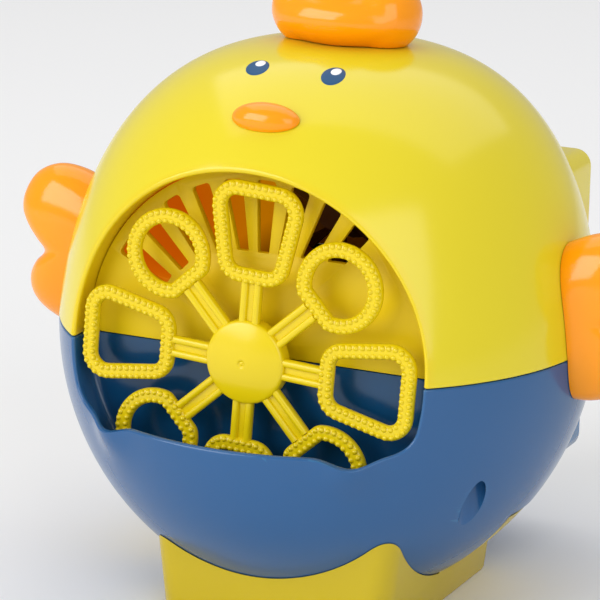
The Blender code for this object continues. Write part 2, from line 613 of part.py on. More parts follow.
# ---- switch and board -----------------------------------------------------------------------------
body = box("switch_body", 35.0, 54.5, 84.0, 92.5, 17.5, 32.5)
cut(body, box("s", 39.6, 49.6, 88.0, 100, 22.6, 27.4))
finish(body, "black_plastic")
slider = prism("switch_slider", rounded_rect(40.0, 45.2, 23.0, 27.0, 0.6, 2), 88.4, 97.2)
finish(slider, "black_plastic", 35, (42.6, 95.3, 25.0))
finish(box("circuit_board", 36.0, 54.0, 66.0, 67.6, -46.0, -10.0), "board")

# ---- screws ----------------------------------------------------------------------------------------
def screw_up(name, x, y, head_z, tip_z, r):
    obj = turned(name, [(0, head_z), (2.9, head_z), (2.9, head_z + 2.0), (r, head_z + 2.0), (r, tip_z), (0, tip_z)], 20, "Z", (x, y))
    cut(obj, box("s", x - 1.9, x + 1.9, y - 0.35, y + 0.35, head_z - 1, head_z + 1.0), box("s", x - 0.35, x + 0.35, y - 1.9, y + 1.9, head_z - 1, head_z + 1.0))
    return finish(obj, "steel")


for k, (x, y) in enumerate(WELLS):
    screw_up("shell_screw_%d" % (k + 1), x, y, -14.4, 10.0, 1.2)
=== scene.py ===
import json
import math

import bmesh
import bpy
import numpy as np
from mathutils import Matrix, Vector


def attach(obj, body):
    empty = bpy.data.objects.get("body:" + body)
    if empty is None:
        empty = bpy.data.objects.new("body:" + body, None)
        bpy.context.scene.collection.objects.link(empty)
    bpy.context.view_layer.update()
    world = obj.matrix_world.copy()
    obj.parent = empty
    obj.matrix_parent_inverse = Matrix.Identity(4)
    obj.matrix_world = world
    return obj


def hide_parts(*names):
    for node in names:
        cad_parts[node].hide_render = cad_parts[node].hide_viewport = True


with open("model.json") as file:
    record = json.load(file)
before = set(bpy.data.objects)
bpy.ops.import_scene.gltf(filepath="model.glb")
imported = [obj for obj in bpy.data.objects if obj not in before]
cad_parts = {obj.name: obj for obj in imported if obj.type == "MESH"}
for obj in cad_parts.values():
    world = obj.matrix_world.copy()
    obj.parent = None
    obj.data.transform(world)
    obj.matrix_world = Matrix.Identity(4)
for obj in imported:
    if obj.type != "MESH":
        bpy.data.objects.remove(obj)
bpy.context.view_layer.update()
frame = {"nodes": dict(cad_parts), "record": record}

# Millimetres about the centre of the ball, on its equator; the model's origin is below it.
R = 92.5
SEAM_Z = 93.5
BODY_Y = -4.42
SHIFT = np.array([0.0, BODY_Y, SEAM_Z])
DEPTH, DEPTH_BACK = 0.982, 1.008
UP_H, LOW_H = 1.007, 1.036
UP_SQUARE, LOW_SQUARE, PLAN_SQUARE = 0.946, 1.010, 1.017
UP_LEAN, LOW_LEAN = 0.071, -0.027
WALL, GAP = 2.4, 0.3
BORE_R, TUNNEL_T = 62.9, 2.2
BACK_Y, BACK_T = -54.7, 2.4
LIP_Z = -23.1
WHEEL_Y, WHEEL_LEAN, HUB_R = -63.2, 3.6, 14.0
TRAP_C, ROUND_C = 43.0, 43.5
TAIL_X, TAIL_Y, TAIL_TOP, TAIL_BOT, TAIL_ROUND = 59.0, 95.3, 47.3, -64.0, 6.0
BASE_DX, BASE_W_TOP, BASE_W_BOT = 6.5, 46.5, 41.0
BASE_FRONT, BASE_BACK = -59.0, 40.5
WELLS = ((71.0, -39.5), (-71.0, -39.5), (57.0, 52.0), (-57.0, 52.0))


# ---- mesh helpers ------------------------------------------------------------------
def make(name, verts, faces, merge=0.0):
    """A mesh object from points in millimetres about the ball's centre."""
    v = (np.asarray(verts, float).reshape(-1, 3) + SHIFT) * 0.001
    me = bpy.data.meshes.new(name)
    me.from_pydata(v.tolist(), [], [list(map(int, f)) for f in faces])
    bm = bmesh.new()
    bm.from_mesh(me)
    if merge:
        bmesh.ops.remove_doubles(bm, verts=bm.verts, dist=merge * 0.001)
    bmesh.ops.recalc_face_normals(bm, faces=bm.faces)
    bm.to_mesh(me)
    bm.free()
    o = bpy.data.objects.new(name, me)
    bpy.context.scene.collection.objects.link(o)
    return o


def apply_all(o):
    bpy.context.view_layer.update()
    graph = bpy.context.evaluated_depsgraph_get()
    me = bpy.data.meshes.new_from_object(o.evaluated_get(graph))
    o.modifiers.clear()
    o.data = me
    return o


def boolean(target, tool, op="DIFFERENCE", keep_tool=False):
    mod = target.modifiers.new("b", "BOOLEAN")
    mod.operation, mod.solver, mod.object = op, "EXACT", tool
    apply_all(target)
    if not keep_tool:
        bpy.data.objects.remove(tool, do_unlink=True)
    return target


def merged(name, *objs):
    """One object out of several; the others are used up."""
    bm = bmesh.new()
    for o in objs:
        bm.from_mesh(o.data)
        bpy.data.objects.remove(o, do_unlink=True)
    me = bpy.data.meshes.new(name)
    bm.to_mesh(me)
    bm.free()
    o = bpy.data.objects.new(name, me)
    bpy.context.scene.collection.objects.link(o)
    return o


def shade(o, angle=35.0):
    o.data.shade_smooth()
    o.data.set_sharp_from_angle(angle=math.radians(angle))
    return o


def soft_edges(o, width, segments=2, angle=40.0):
    mod = o.modifiers.new("edge", "BEVEL")
    mod.width, mod.segments = width * 0.001, segments
    mod.limit_method, mod.angle_limit = "ANGLE", math.radians(angle)
    mod.use_clamp_overlap = True
    return apply_all(o)


def grid(rows, cols, wrap_r=False, wrap_c=False, first=0):
    faces = []
    for i in range(rows if wrap_r else rows - 1):
        for j in range(cols if wrap_c else cols - 1):
            a, b = i * cols + j, i * cols + (j + 1) % cols
            c, d = ((i + 1) % rows) * cols + (j + 1) % cols, ((i + 1) % rows) * cols + j
            faces.append((first + a, first + b, first + c, first + d))
    return faces


def prism(name, outline, w0, w1, axis="Y"):
    order = {"X": (1, 2, 0), "Y": (0, 2, 1), "Z": (0, 1, 2)}[axis]
    pts, n = np.zeros((2, len(outline), 3)), len(outline)
    o = np.array(outline, float)
    for k, w in enumerate((w0, w1)):
        pts[k, :, order[0]], pts[k, :, order[1]], pts[k, :, order[2]] = o[:, 0], o[:, 1], w
    return make(name, pts, [tuple(range(n)), tuple(range(n, 2 * n))] + [(i, (i + 1) % n, n + (i + 1) % n, n + i) for i in range(n)])


def circle(r, n=48, u=0.0, v=0.0):
    a = np.linspace(0, 2 * np.pi, n, endpoint=False)
    return np.stack([u + r * np.cos(a), v + r * np.sin(a)], 1)


def loft(name, outlines, axis="Z"):
    """outlines: (w, points) with equal point counts; closed with flat ends."""
    order = {"X": (1, 2, 0), "Y": (0, 2, 1), "Z": (0, 1, 2)}[axis]
    n, m = len(outlines[0][1]), len(outlines)
    pts = np.zeros((m, n, 3))
    for k, (w, o) in enumerate(outlines):
        o = np.asarray(o, float)
        pts[k, :, order[0]], pts[k, :, order[1]], pts[k, :, order[2]] = o[:, 0], o[:, 1], w
    return make(name, pts, [tuple(range(n)), tuple(range((m - 1) * n, m * n))] + grid(m, n, wrap_c=True))


def lathe(name, profile, n=64, axis="Y", centre=(0.0, 0.0)):
    """profile: (radius, height) pairs; ends on the axis are closed."""
    order = {"X": (1, 2, 0), "Y": (0, 2, 1), "Z": (0, 1, 2)}[axis]
    p = np.array(profile, float)
    a = np.linspace(0, 2 * np.pi, n, endpoint=False)
    pts = np.zeros((n, len(p), 3))
    pts[:, :, order[0]] = centre[0] + p[None, :, 0] * np.cos(a)[:, None]
    pts[:, :, order[1]] = centre[1] + p[None, :, 0] * np.sin(a)[:, None]
    pts[:, :, order[2]] = p[None, :, 1]
    closed = p[0, 0] > 1e-6 and p[-1, 0] > 1e-6
    return make(name, pts, grid(n, len(p), wrap_r=True, wrap_c=closed), merge=0.0005)


def rounded_rect(x0, x1, z0, z1, r, n=8, corners=(True, True, True, True)):
    pts = []
    data = ((x0, z0, 180, 1, 1), (x1, z0, 270, -1, 1), (x1, z1, 0, -1, -1), (x0, z1, 90, 1, -1))
    for (x, z, a0, sx, sz), on in zip(data, corners):
        if not on:
            pts.append((x, z))
            continue
        for k in range(n + 1):
            a = math.radians(a0 + 90 * k / n)
            pts.append((x + sx * r + r * math.cos(a), z + sz * r + r * math.sin(a)))
    return pts


def arc(p0, corner, p3, n):
    """Round joint from p0 to p3, tangent to the lines that meet at the corner."""
    p0, c, p3 = (np.asarray(p, float) for p in (p0, corner, p3))
    a, b = p0 - c, p3 - c
    cosw = np.sum(a * b, -1) / (np.linalg.norm(a, axis=-1) * np.linalg.norm(b, axis=-1) + 1e-12)
    w = np.sqrt(np.clip((1 - cosw) / 2, 1e-4, 1))[..., None]
    out = []
    for t in np.linspace(0, 1, n):
        k0, k1, k2 = (1 - t) ** 2, 2 * w * t * (1 - t), t * t
        out.append((k0 * p0 + k1 * c + k2 * p3) / (k0 + k1 + k2))
    return np.stack(out, -2)


# ---- the ball's surface ---------------------------------------------------------------
def swell(phi):
    return 1 + 0.0197 * np.sin(2 * phi) ** 2 + 0.0376 * np.sin(phi) ** 2 * np.sin(2 * phi) - 0.0132 * np.sin(4 * phi)


def reach(d, upper):
    """Distance from the centre to the surface along each direction, over R."""
    x, y, z = d[..., 0], d[..., 1], np.abs(d[..., 2])
    lean, high, ev = (UP_LEAN, UP_H, UP_SQUARE) if upper else (LOW_LEAN, LOW_H, LOW_SQUARE)
    yy = y - lean * z
    yy = np.where(yy > 0, yy / DEPTH_BACK, yy)
    h = (np.abs(x) ** (2 / PLAN_SQUARE) + np.abs(yy / DEPTH) ** (2 / PLAN_SQUARE)) ** (PLAN_SQUARE / ev)
    w = (z / high) ** (2 / ev)
    phi = np.arctan2(w ** (ev / 2), h ** (ev / 2))
    g = swell(phi) if upper else 1.0
    return g / (h + w) ** (ev / 2)


def on_ball(d, upper, radius=R):
    d = np.asarray(d, float)
    d = d / np.linalg.norm(d, axis=-1, keepdims=True)
    return d * (radius * reach(d, upper))[..., None] + np.array([0, 0, GAP / 2 if upper else -GAP / 2])


def ball_solid(name, radius, n=128, rows=36):
    """The whole ball as one closed solid."""
    th = np.linspace(0, 2 * np.pi, n, endpoint=False)
    rings = []
    for upper in (True, False):
        ph = np.linspace(np.pi / 2, 0, rows) if upper else np.linspace(0, np.pi / 2, rows)
        for p in ph:
            s = 1 if upper else -1
            d = np.stack([np.cos(p) * np.cos(th), np.cos(p) * np.sin(th), s * np.full(n, math.sin(p))], -1)
            rings.append(on_ball(d, upper, radius))
    pts = np.array(rings)
    pts[0] = pts[0].mean(0)
    pts[-1] = pts[-1].mean(0)
    return make(name, pts, grid(len(pts), n, wrap_c=True), merge=0.01)


def half_solid(name, upper, radius, n=128, rows=30, skirt=0.0):
    th = np.linspace(0, 2 * np.pi, n, endpoint=False)
    s = 1 if upper else -1
    rings = []
    for p in np.linspace(0, np.pi / 2, rows):
        d = np.stack([np.cos(p) * np.cos(th), np.cos(p) * np.sin(th), s * np.full(n, math.sin(p))], -1)
        rings.append(on_ball(d, upper, radius))
    if skirt:
        low = rings[0].copy()
        low[:, 2] = -s * skirt
        rings.insert(0, low)
    pts = np.array(rings)
    pts[-1] = pts[-1].mean(0)
    return make(name, pts, [tuple(range(n))] + grid(len(pts), n, wrap_c=True), merge=0.01)


class Slice:
    """Section of the ball by half planes about the wheel's axis, at the angles psi."""

    def __init__(self, psi, upper):
        self.psi, self.upper = np.asarray(psi, float), upper
        self.table = np.radians(np.linspace(0, 100, 1001))
        self.rho = {}

    def skin(self, alpha, radius):
        """(rho, y) for each slice and each angle from the front; alpha is (slices, k)."""
        p = self.psi[:, None]
        d = np.stack([np.sin(alpha) * np.cos(p), -np.cos(alpha) * np.ones_like(p), np.sin(alpha) * np.sin(p)], -1)
        r = radius * reach(d, self.upper)
        return np.stack([r * np.sin(alpha), -r * np.cos(alpha)], -1)

    def alpha_at(self, rho, radius):
        """Angle at which the front of the skin is that far from the axis."""
        if radius not in self.rho:
            t = np.broadcast_to(self.table, (len(self.psi), len(self.table)))
            self.rho[radius] = self.skin(t, radius)[..., 0]
        rho = np.broadcast_to(rho, self.psi.shape)
        return np.array([np.interp(q, row[:900], self.table[:900]) for q, row in zip(rho, self.rho[radius])])


def spaced(a, b, n, ease=1.0):
    """n samples per row from a to b, closer together at a when ease is over 1."""
    t = np.linspace(0, 1, n) ** ease
    return a[:, None] + (b - a)[:, None] * t


def swept(name, profile, psi, upper, seam_cols, r=0.55, hole=None):
    """Closed solid from profiles (slices, columns, 2) turned about the wheel's axis. Next to the seam the columns
    in seam_cols get a small round edge, on rows of constant height."""
    s = 1 if upper else -1
    P = np.asarray(profile)
    rows, cols = P.shape[:2]
    t = np.roll(P, -1, 1) - np.roll(P, 1, 1)
    t /= np.linalg.norm(t, axis=-1, keepdims=True) + 1e-12
    nrm = np.stack([t[..., 1], -t[..., 0]], -1)
    area = 0.5 * np.sum(P[0, :, 0] * np.roll(P[0, :, 1], -1) - np.roll(P[0, :, 0], -1) * P[0, :, 1])
    if area < 0:
        nrm = -nrm
    X = P[..., 0] * np.cos(psi)[:, None]
    Z = P[..., 0] * np.sin(psi)[:, None]
    body = np.stack([X, P[..., 1], Z], -1)[1:-1]
    weight = np.zeros(cols)
    weight[seam_cols] = 1.0
    out_rows = []
    for end, k in ((0, 1), (rows - 1, -1)):
        side = math.cos(psi[end])
        edge = []
        for frac in (0.0, 0.12, 0.3, 0.55, 1.0):
            zo = frac * r
            inset = (r - math.sqrt(max(r * r - (r - zo) ** 2, 0))) * weight
            q = P[end] - nrm[end] * inset[:, None]
            lim = q[:, 0] * 0.9 * abs(math.sin(psi[end + k])) * frac
            z = np.minimum(zo, lim)
            x = np.sqrt(np.maximum(q[:, 0] ** 2 - z * z, 0)) * side
            edge.append(np.stack([x, q[:, 1], s * z], -1))
        out_rows.append(edge)
    pts = np.concatenate([np.array(out_rows[0]), body, np.array(out_rows[1][::-1])], 0)
    pts[..., 2] += s * GAP / 2
    n = len(pts)
    faces = grid(n, cols, wrap_c=True)
    faces += [tuple(range(cols)), tuple((n - 1) * cols + j for j in range(cols))]
    return pts, faces


def spout(x, z):
    """How far the lip is pushed out at the two pouring spouts, 0 to 1."""
    edge = LIP_Z - 3.0
    dx = (np.abs(x) - 43.0) / 7.5
    below = np.where(z < edge, (edge - z) / 9.0, (z - edge) / 6.5)
    return np.exp(-dx ** 2 * 1.1) * np.exp(-below ** 2)


def lip_height(x):
    u = np.clip((np.abs(x) - 42.6) / 11.0, -1, 1)
    return LIP_Z + 0.3 - 2.7 * np.cos(u * np.pi / 2) ** 2


def opening(psi):
    """Radius of the tank's opening in each slice: the bore, or the lip where that comes first."""
    c, s = np.cos(psi), np.sin(psi)
    out = []
    for ci, si in zip(c, s):
        rho = np.linspace(15, BORE_R, 1400)
        a = rho - BORE_R
        b = lip_height(rho * ci) - rho * si
        k = 9.0
        f = np.maximum(a, b) + np.maximum(k - np.abs(a - b), 0) ** 2 / (4 * k)
        hit = np.nonzero(f > 0)[0]
        out.append(rho[hit[0]] if len(hit) else BORE_R)
    return np.minimum(np.array(out), BORE_R)


# ---- upper shell -----------------------------------------------------------------------
def upper_shell():
    psi = np.linspace(0, np.pi, 181)
    s = Slice(psi, True)
    ones = np.ones_like(psi)
    y0 = BACK_Y + BACK_T + 2.0
    a_rim = s.alpha_at(BORE_R * ones, R)
    rim = s.skin(a_rim[:, None], R)[:, 0]
    a3 = a_rim + 2.3 / R
    p3 = s.skin(a3[:, None], R)[:, 0]
    tangent = (s.skin(a3[:, None] + 0.002, R)[:, 0] - p3)
    # corner where the tangent at p3 meets the bore
    k = (BORE_R - p3[:, 0]) / tangent[:, 0]
    corner = p3 + tangent * k[:, None]
    p0 = np.stack([BORE_R * ones, corner[:, 1] + 2.3], -1)
    wall = np.stack([np.full((len(psi), 8), BORE_R), spaced(y0 * ones, p0[:, 1] + 0.35, 8)], -1)
    lip = arc(p0, corner, p3, 10)
    outer = s.skin(spaced(a3, np.pi * ones, 96)[:, 1:], R)
    a_in = s.alpha_at((BORE_R + TUNNEL_T) * ones, R - WALL)
    inner = s.skin(spaced(np.pi * ones, a_in, 48), R - WALL)
    tun = np.stack([np.full((len(psi), 3), BORE_R + TUNNEL_T), spaced(inner[:, -1, 1], y0 * ones, 4)[:, 1:]], -1)
    prof = np.concatenate([wall, lip, outer, inner, tun], 1)
    n_out = wall.shape[1] + lip.shape[1] + outer.shape[1] - 14
    pts, faces = swept("u", prof, psi, True, slice(1, n_out))
    return make("upper_shell_skin", pts, faces, merge=0.002)


def tail_outer(upper, inset=0.0, y0=30.0, edge=2.2, soft=0.5):
    """Tail housing as a rounded block, open on no side."""
    def outline(g, zg):
        if upper:
            return rounded_rect(-TAIL_X + g, TAIL_X - g, GAP / 2 + zg, TAIL_TOP - g, TAIL_ROUND, corners=(False, False, True, True))
        return rounded_rect(-TAIL_X + g, TAIL_X - g, TAIL_BOT + g, -GAP / 2 - zg, TAIL_ROUND, corners=(True, True, False, False))
    rows = [(y0, outline(inset, 0))]
    for k in range(7):
        a = math.pi / 2 * k / 6
        rows.append((TAIL_Y - inset - edge + edge * math.sin(a), outline(inset + edge * (1 - math.cos(a)), 0)))
    return loft("tail", rows, "Y")


def tail_inner(upper):
    if upper:
        o = rounded_rect(-TAIL_X + WALL, TAIL_X - WALL, -5, TAIL_TOP - WALL, TAIL_ROUND - 1.5, corners=(False, False, True, True))
    else:
        o = rounded_rect(-TAIL_X + WALL, TAIL_X - WALL, TAIL_BOT + WALL, 5, TAIL_ROUND - 1.5, corners=(True, True, False, False))
    return prism("tail_in", o, 20.0, TAIL_Y - WALL)


def with_tail(shell, upper):
    tail = tail_outer(upper)
    boolean(tail, half_solid("h", upper, R - 1.2, 96, 24, skirt=6.0))
    inner = tail_inner(upper)
    boolean(tail, inner, keep_tool=True)
    boolean(shell, inner)
    return boolean(shell, tail, "UNION")


upper = upper_shell()
with_tail(upper, True)
tools = [prism("s%d" % k, rounded_rect(-42, 12, 9.0 + 6.6 * k, 12.2 + 6.6 * k, 1.2, 4), 88, 110) for k in range(5)]
tools.append(prism("w", rounded_rect(38.6, 50.6, 21.6, 28.4, 1.5, 5), 88, 110))
boolean(upper, merged("t", *tools))
upper.name = "upper_shell_visual"


# ---- lower shell -------------------------------------------------------------------------
def lower_shell():
    psi = np.linspace(np.pi, 2 * np.pi, 361)
    s = Slice(psi, False)
    ones = np.ones_like(psi)
    rho_o = opening(psi)
    depth = BORE_R - rho_o
    # front of the back wall, from the hub's hole to the bore, with a rounded corner
    corner_r = 2.4
    back = np.stack([spaced(9.6 * ones, (BORE_R - corner_r) * ones, 12), np.full((len(psi), 12), BACK_Y)], -1)
    cr = arc(np.stack([(BORE_R - corner_r) * ones, BACK_Y * ones], -1), np.stack([BORE_R * ones, BACK_Y * ones], -1), np.stack([BORE_R * ones, (BACK_Y - corner_r) * ones], -1), 6)[:, 1:]
    a_b = s.alpha_at(BORE_R * ones, R - WALL)
    y_b = s.skin(a_b[:, None], R - WALL)[:, 0, 1]
    floor = np.stack([np.full((len(psi), 8), BORE_R), spaced((BACK_Y - corner_r) * ones, y_b, 9)[:, 1:]], -1)
    # inner skin from the bore up to the lip
    r_in = np.minimum(0.9, 0.4 * depth)
    a_o = s.alpha_at(rho_o + r_in, R - WALL)
    inside = s.skin(spaced(a_b, a_o, 18)[:, 1:], R - WALL)
    a_c = s.alpha_at(rho_o, R - WALL)
    c_in = s.skin(a_c[:, None], R - WALL)[:, 0]
    a_out = s.alpha_at(rho_o, R)
    c_out = s.skin(a_out[:, None], R)[:, 0]
    thick = c_in[:, 1] - c_out[:, 1]
    e_in = c_in.copy()
    e_in[:, 1] -= np.minimum(r_in, 0.4 * thick)
    round_in = arc(inside[:, -1], c_in, e_in, 6)[:, 1:]
    ext = np.minimum(2.3, 0.55 * thick)
    a3 = a_out + ext / R
    p3 = s.skin(a3[:, None], R)[:, 0]
    tangent = s.skin(a3[:, None] + 0.002, R)[:, 0] - p3
    corner = p3 + tangent * ((rho_o - p3[:, 0]) / tangent[:, 0])[:, None]
    p0 = np.stack([rho_o, corner[:, 1] + ext], -1)
    round_out = arc(p0, corner, p3, 9)
    outer = s.skin(spaced(a3, np.pi * ones, 110, 1.25)[:, 1:], R)
    a_in = s.alpha_at((BORE_R + TUNNEL_T) * ones, R - WALL)
    inner = s.skin(spaced(np.pi * ones, a_in, 48), R - WALL)
    tun = np.stack([np.full((len(psi), 3), BORE_R + TUNNEL_T), spaced(inner[:, -1, 1], (BACK_Y + BACK_T) * ones, 4)[:, 1:]], -1)
    rear = np.stack([spaced((BORE_R + TUNNEL_T) * ones, 9.6 * ones, 5)[:, 1:], np.full((len(psi), 4), BACK_Y + BACK_T)], -1)
    prof = np.concatenate([back, cr, floor, inside, round_in, round_out, outer, inner, tun, rear], 1)
    n_out = sum(a.shape[1] for a in (back, cr, floor, inside, round_in, round_out, outer)) - 14
    pts, faces = swept("l", prof, psi, False, slice(back.shape[1], n_out))
    # pouring spouts: both skins pushed outwards
    x, y, z = pts[..., 0], pts[..., 1], pts[..., 2]
    rho = np.hypot(x, z)
    near = (y < -58) & (rho < 90)
    skin_part = np.zeros(prof.shape[1])
    k0 = back.shape[1] + cr.shape[1]
    k1 = k0 + floor.shape[1]
    skin_part[k1:n_out] = 1.0
    skin_part[k0:k1] = np.linspace(0, 1, k1 - k0) ** 3
    amp = 2.8 * spout(x, z) * skin_part[None, :] * near
    direction = np.stack([x * 0.95, y * 0.9, z * 0.25], -1)
    direction /= np.linalg.norm(direction, axis=-1, keepdims=True)
    pts = pts + direction * amp[..., None]
    return make("lower_shell_skin", pts, faces, merge=0.002)


lower = lower_shell()
with_tail(lower, False)
# tubes of the screw wells
tubes = []
for k, (x, y) in enumerate(WELLS):
    tubes.append(prism("tube%d" % k, circle(6.3, 40, x, y), -92, -6, "Z"))
tubes = merged("tubes", *tubes)
boolean(tubes, half_solid("h", False, R - 1.0, 96, 24, skirt=3.0), "INTERSECT")
boolean(lower, tubes, "UNION")
tools = []
for k, (x, y) in enumerate(WELLS):
    tools.append(lathe("w%d" % k, [(0, -120), (4.3, -120), (4.3, -12), (1.9, -12), (1.9, 5), (0, 5)], 48, "Z", (x, y)))
tools.append(prism("door", rounded_rect(-33.3, 33.3, -60.6, -1.6, 0.6, 3), 84, 120))
tools.append(prism("under", rounded_rect(-34, 36, -38, 33, 8.0), -120, -70, "Z"))
boolean(lower, merged("t", *tools))
pockets = []
for side in (-1, 1):
    p = prism("p", [(min(side * 30, side * 120), -12), (max(side * 30, side * 120), -12), (max(side * 30, side * 120), 34), (min(side * 30, side * 120), 34)], -89.0, -55.8, "Z")
    boolean(p, half_solid("q", False, R - 1.6, 96, 30, skirt=6.0))
    pockets.append(p)
boolean(lower, merged("t", *pockets))
lower.name = "lower_shell_visual"


# ---- stand -----------------------------------------------------------------------------------
def stand_outline(z, inset):
    t = z / 50.0
    hw = BASE_W_BOT + (BASE_W_TOP - BASE_W_BOT) * t - inset
    return rounded_rect(BASE_DX - hw, BASE_DX + hw, BASE_FRONT + inset + 1.5 * (1 - t), BASE_BACK - inset - 1.5 * (1 - t), 8.0 - min(inset, 2.0) * 0.5, 10)


base = loft("base_visual", [(z - SEAM_Z, stand_outline(z, i)) for z, i in ((0, 1.0), (0.3, 0.3), (1.0, 0.0), (12, 0), (24, 0), (36, 0), (46, 0))])
hollow = loft("i", [(z - SEAM_Z, stand_outline(z, 2.4)) for z in (2.4, 60.0)])
for side in (-1, 1):
    ear = prism("e", [(min(side * 31, side * 120), -9), (max(side * 31, side * 120), -9), (max(side * 31, side * 120), 31), (min(side * 31, side * 120), 31)], -88.0, -57.6, "Z")
    boolean(ear, half_solid("e2", False, R - 0.4, 128, 40, skirt=2.0), "INTERSECT")
    boolean(base, ear, "UNION")
boolean(base, hollow)
bowl = half_solid("b", False, R + GAP, 160, 48)
for side in (-1, 1):
    a, b = side * (30 + GAP), side * 120
    p = prism("p", [(min(a, b), -12 + GAP), (max(a, b), -12 + GAP), (max(a, b), 34 - GAP), (min(a, b), 34 - GAP)], -89.0 + GAP, -55.8 - GAP, "Z")
    boolean(p, half_solid("q", False, R - 1.6 + GAP, 128, 36, skirt=6.0))
    boolean(bowl, p)
boolean(bowl, prism("k", [(-120, -120), (120, -120), (120, 120), (-120, 120)], 2.7 - SEAM_Z, 60, "Z"), "INTERSECT")
boolean(base, bowl)


# ---- recess back wall --------------------------------------------------------------------------
def rounded_polygon(corners, n=8):
    pts, m = [], len(corners)
    for i, (x, z, r) in enumerate(corners):
        p = Vector((x, z))
        a = (Vector(corners[i - 1][:2]) - p).normalized()
        b = (Vector(corners[(i + 1) % m][:2]) - p).normalized()
        half = a.angle(b) / 2
        centre = p + (a + b).normalized() * (r / math.sin(half))
        t0 = p + a * (r / math.tan(half)) - centre
        t1 = p + b * (r / math.tan(half)) - centre
        a0 = math.atan2(t0.y, t0.x)
        turn = (math.atan2(t1.y, t1.x) - a0 + math.pi) % (2 * math.pi) - math.pi
        for k in range(n + 1):
            c = a0 + turn * k / n
            pts.append((centre.x + r * math.cos(c), centre.y + r * math.sin(c)))
    return np.array(pts)


def half_disc(r, flat, n=90):
    a = np.linspace(0, math.pi, n + 1)
    p = [(r * math.cos(t), r * math.sin(t)) for t in a if r * math.sin(t) > flat + 0.01]
    end = math.sqrt(r * r - flat * flat)
    return [(end, flat)] + p + [(-end, flat)]


panel = prism("grille_panel_visual", half_disc(BORE_R - GAP, GAP / 2 + 0.15), BACK_Y, BACK_Y + BACK_T)
boolean(panel, prism("b", circle(9.3, 48), BACK_Y + 0.05, BACK_Y + BACK_T + 0.2), "UNION")
tools = []
for k in range(9):
    lean = -58.0 + 12.0 * k
    low, high = [], []
    for edge in (lean - 3.4, lean + 3.4):
        t = math.radians(edge)
        r = 34.5 / math.cos(t) if lean > -15 else 34.5 + 0.1 * abs(lean + 10)
        low.append((r * math.sin(t), r * math.cos(t)))
        high.append((58.9 * math.sin(t), 58.9 * math.cos(t)))
    corners = [(*low[0], 0.5), (*low[1], 0.5), (*high[1], 1.3), (*high[0], 1.3)]
    tools.append(prism("s", [tuple(q) for q in rounded_polygon(corners, 4)], BACK_Y - 5, BACK_Y + 10))
tools.append(prism("h", circle(3.6, 32), BACK_Y - 5, BACK_Y + 10))
boolean(panel, merged("t", *tools))
soft_edges(panel, 0.35, 2, 50)


# ---- blower duct -------------------------------------------------------------------------------
def duct_line(a, b, cz, square, n=72):
    """Oval with a squarer lower half."""
    out = []
    for t in np.linspace(0, 2 * np.pi, n, endpoint=False):
        c, s = math.cos(t), math.sin(t)
        p = square if s < 0 else 1.0
        out.append((a * math.copysign(abs(c) ** p, c), cz + b * math.copysign(abs(s) ** p, s)))
    return out


FAN_Z = 36.0
duct = loft("fan_duct_visual", [(-51.6, duct_line(57, 21.8, 40, 0.5)), (-40.0, duct_line(50, 21.5, 39.5, 0.6)), (-24.0, duct_line(39, 23.0, 38, 0.85)), (-8.0, duct_line(25.5, 24.5, FAN_Z, 1.0)), (18.0, duct_line(25, 25, FAN_Z, 1.0))], "Y")
boolean(duct, loft("i", [(-52.5, duct_line(55.2, 20.3, 40, 0.5)), (-40.0, duct_line(48.2, 19.7, 39.5, 0.6)), (-24.0, duct_line(37.2, 21.2, 38, 0.85)), (-8.0, duct_line(23.7, 22.7, FAN_Z, 1.0)), (19.0, duct_line(23.2, 23.2, FAN_Z, 1.0))], "Y"))


# ---- wand wheel --------------------------------------------------------------------------------
def resample(points, n):
    p = np.vstack([points, points[:1]])
    d = np.r_[0, np.cumsum(np.linalg.norm(np.diff(p, axis=0), axis=1))]
    t = np.linspace(0, d[-1], n, endpoint=False)
    return np.stack([np.interp(t, d, p[:, 0]), np.interp(t, d, p[:, 1])], 1), d[-1]


def about_hub(p, centre, degrees):
    a = math.radians(degrees)
    x, z = p[..., 0], p[..., 1] + centre
    return np.stack([x * math.cos(a) + z * math.sin(a), -x * math.sin(a) + z * math.cos(a)], -1)


def section(hw, ht, n=20, power=0.75):
    a = np.linspace(0, 2 * np.pi, n, endpoint=False)
    return np.stack([hw * np.sign(np.cos(a)) * np.abs(np.cos(a)) ** power, ht * np.sign(np.sin(a)) * np.abs(np.sin(a)) ** power], 1)


def ring(name, line, lean, centre, hw=2.55, ht=1.85, n=144):
    p, _ = resample(line, n)
    t = np.roll(p, -1, 0) - np.roll(p, 1, 0)
    t /= np.linalg.norm(t, axis=1, keepdims=True)
    nrm = np.stack([t[:, 1], -t[:, 0]], 1)
    sec = section(hw, ht)
    flat = p[:, None] + nrm[:, None] * sec[None, :, :1]
    flat = about_hub(flat, centre, lean)
    pts = np.stack([flat[..., 0], WHEEL_Y + np.broadcast_to(sec[None, :, 1], flat.shape[:2]), flat[..., 1]], -1)
    return make(name, pts, grid(n, len(sec), wrap_r=True, wrap_c=True))


